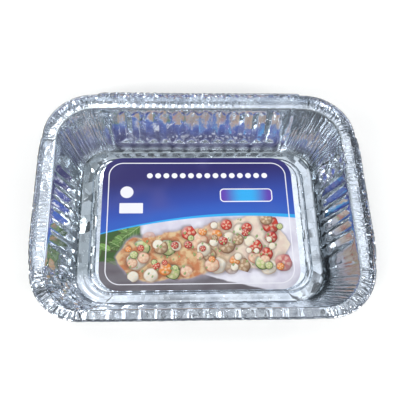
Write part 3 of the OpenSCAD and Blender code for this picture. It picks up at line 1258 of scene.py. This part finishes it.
@dataclass(frozen=True)
class Scatter:
    """Shapes strewn one to a cell, printed flat with a soft shade round them.

    Attributes:
        pitch: The usual distance between two shapes, in millimetres.
        shift: Moves the scatter, so that two scatters differ.
        least: The smallest radius as a share of the pitch.
        most: The largest.
        share: How many of the cells hold a shape, from 0 to 1.
        turn: The way that long shapes point, in radians.
        slim: How many times as long as wide they are.
    """

    pitch: float
    shift: float
    least: float
    most: float
    share: float
    turn: float = 0.0
    slim: float = 1.0

    SHADE = (0.09, 0.05, 0.035, 1.0)

    def draw(self, shader: Shader, x: Wire, y: Wire, inside: Callable, under: Wire) -> Wire:
        """Draws the shapes over a colour.

        Args:
            shader: The shader to draw in.
            x: The place on the card from left to right, in millimetres.
            y: The place from bottom to top.
            inside: Takes a shape's middle and gives 1 where it is drawn.
            under: The colour below.

        Returns:
            The new colour.
        """
        c, s = math.cos(self.turn), math.sin(self.turn)
        along = c * x + s * y + self.shift
        over = (c * y - s * x + 0.7 * self.shift) * self.slim
        place = shader.node("ShaderNodeCombineXYZ", {}, along, over, 0.0)[0]
        flat = {"voronoi_dimensions": "2D"}
        cell = shader.node("ShaderNodeTexVoronoi", flat, place, Scale=1 / self.pitch)
        pick, size, kind = shader.parts(cell[1])
        middle_along, middle_over, _ = shader.parts(cell[2])
        back_along = middle_along - self.shift
        back_over = middle_over / self.slim - 0.7 * self.shift
        where = inside(c * back_along - s * back_over, s * back_along + c * back_over)
        where = where * pick.rise(self.share + 0.01, self.share)
        radius = self.least + (self.most - self.least) * size
        uneven = shader.noise(place, 0.35 * self.pitch, 1.0) - 0.5
        across = cell[0] / radius + 0.25 * uneven
        colour = self.surface(shader, along - middle_along, over - middle_over, across, kind)
        under = shader.mix(across.rise(1.5, 0.85) * where * 0.5, under, self.SHADE)
        return shader.mix(across.rise(1.0, 0.93) * where, under, colour)

    def surface(self, shader: Shader, along: Wire, over: Wire, across: Wire, kind: Wire) -> Wire:
        """The colour of a shape.

        Args:
            shader: The shader to draw in.
            along: The way from its middle, in millimetres.
            over: The same across it.
            across: 0 at its middle and 1 at its edge.
            kind: A number from 0 to 1 for each shape.

        Returns:
            The colour.
        """
        raise NotImplementedError


@dataclass(frozen=True)
class Slices(Scatter):
    """Round slices with a rind, a pale middle and pockets round it."""

    FLESH = (
        (0.60, 0.045, 0.025, 1.0),
        (0.80, 0.27, 0.05, 1.0),
        (0.84, 0.76, 0.60, 1.0),
        (0.52, 0.035, 0.030, 1.0),
        (0.50, 0.56, 0.22, 1.0),
        (0.80, 0.50, 0.34, 1.0),
        (0.44, 0.27, 0.15, 1.0),
        (0.86, 0.80, 0.68, 1.0),
    )
    RIND = (
        (0.34, 0.015, 0.012, 1.0),
        (0.62, 0.15, 0.02, 1.0),
        (0.66, 0.52, 0.38, 1.0),
        (0.28, 0.010, 0.012, 1.0),
        (0.05, 0.13, 0.02, 1.0),
        (0.58, 0.22, 0.12, 1.0),
        (0.24, 0.12, 0.06, 1.0),
        (0.70, 0.55, 0.40, 1.0),
    )
    PALE = (0.90, 0.74, 0.52, 1.0)
    SHINE = (1.0, 0.95, 0.88, 1.0)

    def surface(self, shader: Shader, along: Wire, over: Wire, across: Wire, kind: Wire) -> Wire:
        """The colour of a slice."""
        flesh, rind = shader.pick(self.FLESH, kind), shader.pick(self.RIND, kind)
        spokes = (over.angle(along) * 5.0 + 30.0 * kind).sine()
        pockets = spokes.rise(-0.2, 0.5) * across.rise(0.25, 0.38) * across.rise(0.78, 0.66)
        colour = shader.mix(0.5 * pockets, flesh, self.PALE)
        colour = shader.mix(0.6 * across.rise(0.26, 0.12), colour, self.PALE)
        colour = shader.mix(across.rise(0.80, 0.88), colour, rind)
        light = (over - along) / self.pitch
        colour = shader.mix(0.35 * light.rise(0.1, 0.6), colour, self.SHINE)
        return shader.mix(0.5 * light.rise(0.0, -0.6), colour, self.SHADE)


@dataclass(frozen=True)
class Leaves(Scatter):
    """Slim leaves with veins."""

    GREEN = (0.20, 0.38, 0.09, 1.0)
    DEEP = (0.045, 0.11, 0.025, 1.0)
    VEIN = (0.46, 0.60, 0.26, 1.0)

    def surface(self, shader: Shader, along: Wire, over: Wire, across: Wire, kind: Wire) -> Wire:
        """The colour of a leaf."""
        light = kind * 0.6 + 0.4 * (over / self.pitch).rise(-0.3, 0.3)
        colour = shader.mix(light, self.DEEP, self.GREEN)
        ribs = ((along + 0.7 * over.size()) * 1.5).sine().rise(0.5, 1.0)
        colour = shader.mix(0.25 * ribs, colour, self.VEIN)
        return shader.mix(0.6 * over.size().rise(0.9, 0.3), colour, self.VEIN)


@dataclass(frozen=True)
class CardPrint:
    """Gloss-coated print in plain fields: a deep blue head, a bright curve and round slices."""

    centre: tuple[float, float]
    night: tuple = (0.018, 0.012, 0.130, 1.0)
    royal: tuple = (0.026, 0.080, 0.45, 1.0)
    # Painted sheen on the gloss coat, laid over the blue head.
    painted_sheen: tuple = (0.10, 0.09, 0.30, 1.0)
    bright: tuple = (0.03, 0.16, 0.62, 1.0)
    cyan: tuple = (0.03, 0.42, 0.85, 1.0)
    violet: tuple = (0.12, 0.05, 0.42, 1.0)
    lilac: tuple = (0.66, 0.62, 0.72, 1.0)
    white: tuple = (0.93, 0.91, 0.95, 1.0)
    cream: tuple = (0.74, 0.52, 0.28, 1.0)
    sauce: tuple = (0.56, 0.20, 0.08, 1.0)
    milk: tuple = (0.86, 0.78, 0.68, 1.0)
    shade: tuple = (0.36, 0.32, 0.38, 1.0)
    earth: tuple = (0.085, 0.060, 0.075, 1.0)
    stone: tuple = (0.26, 0.25, 0.27, 1.0)

    LEAVES = (
        Leaves(21.0, 130.0, 0.42, 0.56, 0.95, 0.7, 1.5),
        Leaves(16.0, 340.0, 0.36, 0.50, 0.80, -0.5, 1.7),
    )
    ON_BAND = (
        Slices(21.0, 210.0, 0.34, 0.52, 0.95),
        Slices(18.0, 530.0, 0.30, 0.46, 0.80),
        Slices(12.0, 770.0, 0.24, 0.42, 0.50),
        Leaves(8.0, 910.0, 0.10, 0.22, 0.40, 1.1, 1.6),
    )
    DOTS_Y = 54.0
    DOTS_APART = 9.0
    DISC = ((-77.0, 34.0), (14.0, 14.0), 7.0)
    BLOCK = ((-72.0, 15.0), (25.0, 12.0), 0.8)
    BADGE = ((52.0, 30.0), (56.0, 15.0), 4.0)
    FRAME = ((0.0, 0.0), (193.6, 139.2), 15.5)

    def build(self) -> bpy.types.Material:
        """Makes the material.

        Returns:
            The print material.
        """
        shader = Shader("printed_card")
        place = shader.place()[0]
        middle = (self.centre[0], self.centre[1], 0.0)
        vector = shader.stretched(shader.vectors("SUBTRACT", place, middle), (1.0, 1.0, 0.0))
        x, y, _ = shader.parts(vector)
        colour = self._table(shader, vector, x, y)
        colour = self._head(shader, vector, x, y, colour)
        colour = self._marks(shader, x, y, colour)
        normal = shader.bump(shader.noise(vector, 45.0, 1.0), 0.5)
        grain = shader.noise(vector, 0.9, 1.0)
        return shader.finish(
            Base_Color=colour,
            Roughness=0.30 + 0.08 * grain,
            Specular_IOR_Level=0.35,
            Normal=normal,
        )

    @staticmethod
    def _greens(x: Wire, y: Wire) -> Wire:
        """1 at the left end of the lower field, where the large leaves lie."""
        return (x + 0.30 * y).rise(-66.0, -70.0) * y.rise(-46.0, -44.0)

    @staticmethod
    def _off_band(x: Wire, y: Wire) -> Wire:
        """How far a place is from the middle of the long band."""
        return (y + 33.0 - 9.0 * (0.026 * x).sine()).size() - 0.05 * x

    @classmethod
    def _on_band(cls, x: Wire, y: Wire) -> Wire:
        """1 on the long band."""
        return cls._off_band(x, y).rise(25.5, 24.5) * (x - 3.0).size().rise(84.0, 83.0)

    def _table(self, shader: Shader, vector: Wire, x: Wire, y: Wire) -> Wire:
        """The lower field: a long band of slices between leaves, a pale ground and a dark board."""
        rough = shader.noise(vector, 26.0, 3.0) - 0.5
        ground = shader.mix(rough.rise(-0.2, 0.3), self.lilac, self.white)
        streaks = shader.noise(shader.stretched(vector, (0.4, 1.0, 1.0)), 12.0)
        board = shader.mix(streaks, self.earth, self.stone)
        colour = shader.mix((y + 0.26 * x + 5.0 * rough).rise(-58.0, -60.0), ground, board)
        shady = self._greens(x + 12.0 * rough - 4.0, y + 10.0 * rough)
        colour = shader.mix(shady, colour, Leaves.DEEP)
        for leaves in self.LEAVES:
            colour = leaves.draw(shader, x, y, self._greens, colour)
        soft = shader.mix(shader.noise(vector, 9.0, 3.0).rise(0.40, 0.62), self.cream, self.sauce)
        soft = shader.mix(0.7 * (x + 60.0 * rough).rise(-10.0, 60.0), soft, self.milk)
        over_end = ((x - 2.0).size() - 66.0).most(0.0)
        spread = self._off_band(x, y) + 16.0 * rough + 0.045 * over_end * over_end
        colour = shader.mix(spread.rise(33.0, 24.0), colour, self.shade)
        colour = shader.mix(spread.rise(28.0, 25.0), colour, soft)
        for shapes in self.ON_BAND:
            colour = shapes.draw(shader, x, y, self._on_band, colour)
        return colour

    def _head(self, shader: Shader, vector: Wire, x: Wire, y: Wire, under: Wire) -> Wire:
        """The blue upper field with its bright lower edge, and a painted sheen of soft lighter
        patches over it.
        """
        curve = 6.0 + 0.10 * x - 0.0009 * x * x
        above = y - curve
        slant = shader.noise(shader.stretched(vector, (0.5, 0.5, 0.0)), 24.0, 1.0)
        blue = shader.mix((y - 0.12 * x).rise(62.0, 8.0), self.night, self.royal)
        # Painted sheen: soft lighter patches over the blue.
        blue = shader.mix(0.5 * slant.rise(0.5, 0.8), blue, self.painted_sheen)
        blue = shader.mix(0.45 * above.rise(20.0, 0.0), blue, self.bright)
        thick = 2.6 + 0.014 * x
        colour = shader.mix((above + thick).rise(-0.4, 0.4), under, self.cyan)
        return shader.mix(above.rise(-0.4, 0.4), colour, blue)

    def _marks(self, shader: Shader, x: Wire, y: Wire, under: Wire) -> Wire:
        """The white marks: a row of dots, a disc, a block, a badge and the frame line."""
        across = ((x + 300.0) / self.DOTS_APART).part() - 0.5
        up = (y - self.DOTS_Y) / self.DOTS_APART
        dots = (across * across + up * up).root().rise(0.38, 0.32)
        colour = shader.mix(dots * (x - 10.5).size().rise(67.6, 67.4), under, self.white)
        for mark in (self.DISC, self.BLOCK):
            colour = shader.mix(self._box(x, y, *mark).rise(0.3, -0.3), colour, self.white)
        badge = self._box(x, y, *self.BADGE)
        shine = shader.mix((x - self.BADGE[0][0]).size().rise(26.0, 4.0), self.violet, self.cyan)
        colour = shader.mix(badge.rise(0.3, -0.3), colour, shine)
        colour = shader.mix(badge.size().rise(0.75, 0.4), colour, self.white)
        frame_line = self._box(x, y, *self.FRAME)
        return shader.mix(frame_line.size().rise(0.7, 0.35), colour, self.white)

    @staticmethod
    def _box(x: Wire, y: Wire, centre: tuple, size: tuple, radius: float) -> Wire:
        """How far a place lies outside a rounded box.

        Args:
            x: The place from left to right, in millimetres.
            y: The place from bottom to top.
            centre: The box's middle.
            size: Its width and height.
            radius: Its corners' radius.

        Returns:
            The distance, below 0 inside.
        """
        out_x = ((x - centre[0]).size() - (size[0] / 2 - radius)).most(0.0)
        out_y = ((y - centre[1]).size() - (size[1] / 2 - radius)).most(0.0)
        return (out_x * out_x + out_y * out_y).root() - radius


@dataclass(frozen=True)
class StageFinish:
    """A plain pale surface to stand on."""

    colour: tuple = (0.95, 0.925, 0.885, 1.0)
    dull: tuple = (0.93, 0.905, 0.87, 1.0)
    light: tuple = (0.95, 0.95, 0.94, 1.0)
    glow: float = 0.21

    def build(self) -> bpy.types.Material:
        """Makes the material."""
        shader = Shader("pale_floor")
        vector = shader.place()[0]
        colour = shader.mix(shader.noise(vector, 300.0), self.colour, self.dull)
        return shader.finish(
            Base_Color=colour, Roughness=0.8, Emission_Color=self.light, Emission_Strength=self.glow
        )


@dataclass(frozen=True)
class SoftBox:
    """A rectangular studio lamp that faces the middle of the floor, in metres and watts."""

    name: str
    place: tuple[float, float, float]
    size: tuple[float, float]
    power: float

    def build(self) -> None:
        """Adds the lamp to the scene."""
        lamp = bpy.data.lights.new(self.name, "AREA")
        lamp.shape = "RECTANGLE"
        lamp.size, lamp.size_y = self.size
        lamp.energy = self.power
        obj = bpy.data.objects.new(self.name, lamp)
        bpy.context.scene.collection.objects.link(obj)
        obj.location = self.place
        obj.rotation_euler = (-Vector(self.place)).to_track_quat("-Z", "Y").to_euler()


@dataclass(frozen=True)
class Patch:
    """A soft round patch of the studio's ceiling or walls.

    Attributes:
        way: The direction that it is seen in.
        inner: Its even part's radius, in degrees.
        outer: Where it ends.
        light: How bright it is.
    """

    way: tuple[float, float, float]
    inner: float
    outer: float
    light: float

    def share(self, shader: Shader, way: Wire) -> Wire:
        """How much of a direction the patch covers, from 0 to 1."""
        aim = tuple(Vector(self.way).normalized())
        low, high = (math.cos(math.radians(edge)) for edge in (self.outer, self.inner))
        return shader.vectors("DOT_PRODUCT", way, aim).rise(low, high)


class Studio:
    """The floor, the lamps, the surroundings and the camera."""

    FLOOR_SIZE = 6.0
    TARGET = Vector((0.76, 27.04, 0.0)) * MM
    ELEVATION = math.radians(64.22)
    YAW = math.radians(-6.79)
    ROLL = math.radians(5.88)
    DISTANCE = 650.7 * MM
    LENS = 54.0
    SENSOR = 36.0
    LAMPS = (
        SoftBox("back_left", (-0.30, 0.85, 1.25), (0.14, 0.20), 1.0),
        SoftBox("back_right", (0.90, 0.95, 1.00), (0.15, 0.15), 0.8),
        SoftBox("overhead", (-0.58, 0.10, 1.45), (0.40, 0.40), 1.8),
        SoftBox("near_left", (-0.80, -0.90, 1.10), (0.36, 0.22), 5.4),
        SoftBox("near_right", (0.90, -0.80, 1.10), (0.36, 0.22), 5.4),
        SoftBox("left_window", (-1.30, -0.10, 0.75), (0.24, 0.24), 2.4),
        SoftBox("right_window", (1.30, 0.30, 1.10), (0.20, 0.22), 1.8),
    )
    WALL_LIGHT = 0.22
    CEILING_LIGHT = 0.50
    LIGHT_TINT = (0.94, 1.0, 1.075, 1.0)
    PATCHES = (
        Patch((-0.80, 0.36, 0.46), 12.0, 42.0, 0.07),
        Patch((-0.35, 0.80, 0.45), 8.0, 26.0, 0.15),
        Patch((0.80, 0.30, 0.50), 10.0, 36.0, 0.42),
        Patch((-0.42, -0.70, 0.58), 8.0, 14.0, 1.45),
        Patch((0.02, -0.77, 0.64), 8.0, 14.0, 1.40),
        Patch((0.44, -0.69, 0.58), 8.0, 14.0, 1.35),
        Patch((-0.16, 0.42, 0.90), 6.0, 15.0, 0.68),
        Patch((-0.17, 0.27, 0.95), 6.0, 10.0, 1.08),
        Patch((-0.06, 0.58, 0.81), 6.0, 11.0, 0.90),
        Patch((0.27, 0.42, 0.86), 9.0, 12.0, 1.20),
        Patch((0.13, 0.57, 0.81), 5.0, 8.0, 1.05),
        Patch((0.25, 0.55, 0.80), 5.0, 8.0, 1.20),
        Patch((0.16, 0.31, 0.94), 6.0, 9.0, 1.12),
        Patch((0.12, 0.44, 0.89), 3.0, 6.0, 1.15),
        Patch((0.30, 0.26, 0.92), 4.0, 8.0, 1.15),
        Patch((-0.44, 0.10, 0.89), 8.0, 13.0, 1.35),
        Patch((0.20, -0.24, 0.95), 4.0, 12.0, 0.85),
        Patch((-0.05, -0.40, 0.91), 7.0, 15.0, 0.10),
        Patch((0.07, 0.05, 0.99), 4.0, 8.0, 0.66),
        Patch((0.03, 0.20, 0.98), 3.0, 6.0, 0.20),
        Patch((0.14, 0.19, 0.97), 3.0, 6.0, 0.20),
        Patch((0.44, 0.12, 0.89), 4.0, 9.0, 1.60),
    )

    def build(self) -> None:
        """Adds everything that the object is seen with."""
        self._floor()
        self._surroundings()
        for lamp in self.LAMPS:
            lamp.build()
        self._camera()
        bpy.context.scene.view_settings.view_transform = "Standard"

    def _floor(self) -> None:
        """A wide pale floor under the object."""
        deselect()
        bpy.ops.mesh.primitive_plane_add(size=self.FLOOR_SIZE)
        floor = bpy.context.object
        floor.name = "stage_floor"
        floor.data.materials.append(StageFinish().build())

    def _surroundings(self) -> None:
        """A room with soft brighter and darker patches on its ceiling and walls."""
        shader = Shader("studio", bpy.data.worlds.new("studio"))
        bpy.context.scene.world = shader.material
        way = shader.node("ShaderNodeTexCoord", {})[0]
        height = shader.parts(way)[2]
        cloud = shader.node("ShaderNodeTexNoise", {}, way, Scale=7.0, Detail=2.0)[0].rise(0.35, 0.65)
        light = self.WALL_LIGHT + (self.CEILING_LIGHT - self.WALL_LIGHT) * height.rise(0.0, 0.8)
        light = light * (0.35 + 1.30 * cloud)
        for patch in self.PATCHES:
            share = patch.share(shader, way)
            light = light * (1 - share) + patch.light * share
        light = light * (0.88 + 0.24 * cloud)
        surface = shader.node("ShaderNodeBackground", {}, self.LIGHT_TINT, light)[0]
        shader.node("ShaderNodeOutputWorld", {}, surface)

    def _camera(self) -> None:
        """The camera, where the photograph was taken from."""
        e, w, r = self.ELEVATION, self.YAW, self.ROLL
        ahead = Vector((-math.sin(w) * math.cos(e), math.cos(w) * math.cos(e), -math.sin(e)))
        level = Vector((math.cos(w), math.sin(w), 0.0))
        rise = level.cross(ahead)
        right = math.cos(r) * level + math.sin(r) * rise
        up = math.cos(r) * rise - math.sin(r) * level
        data = bpy.data.cameras.new("camera")
        data.lens, data.sensor_width = self.LENS, self.SENSOR
        data.clip_start = 0.01
        camera = bpy.data.objects.new("camera", data)
        bpy.context.scene.collection.objects.link(camera)
        turn = Matrix((right, up, -ahead)).transposed()
        camera.matrix_world = Matrix.Translation(self.TARGET - ahead * self.DISTANCE) @ turn.to_4x4()
        bpy.context.scene.camera = camera


def main() -> None:
    """Builds the pan, its card and the studio."""
    logging.basicConfig(level=logging.INFO, format="%(message)s")
    Studio().build()
    for maker in (FoilPan(PanSizes()), Card()):
        piece = maker.build()
        LOG.info("%s: %d faces", piece.name, len(piece.data.polygons))


if __name__ == "__main__":
    main()
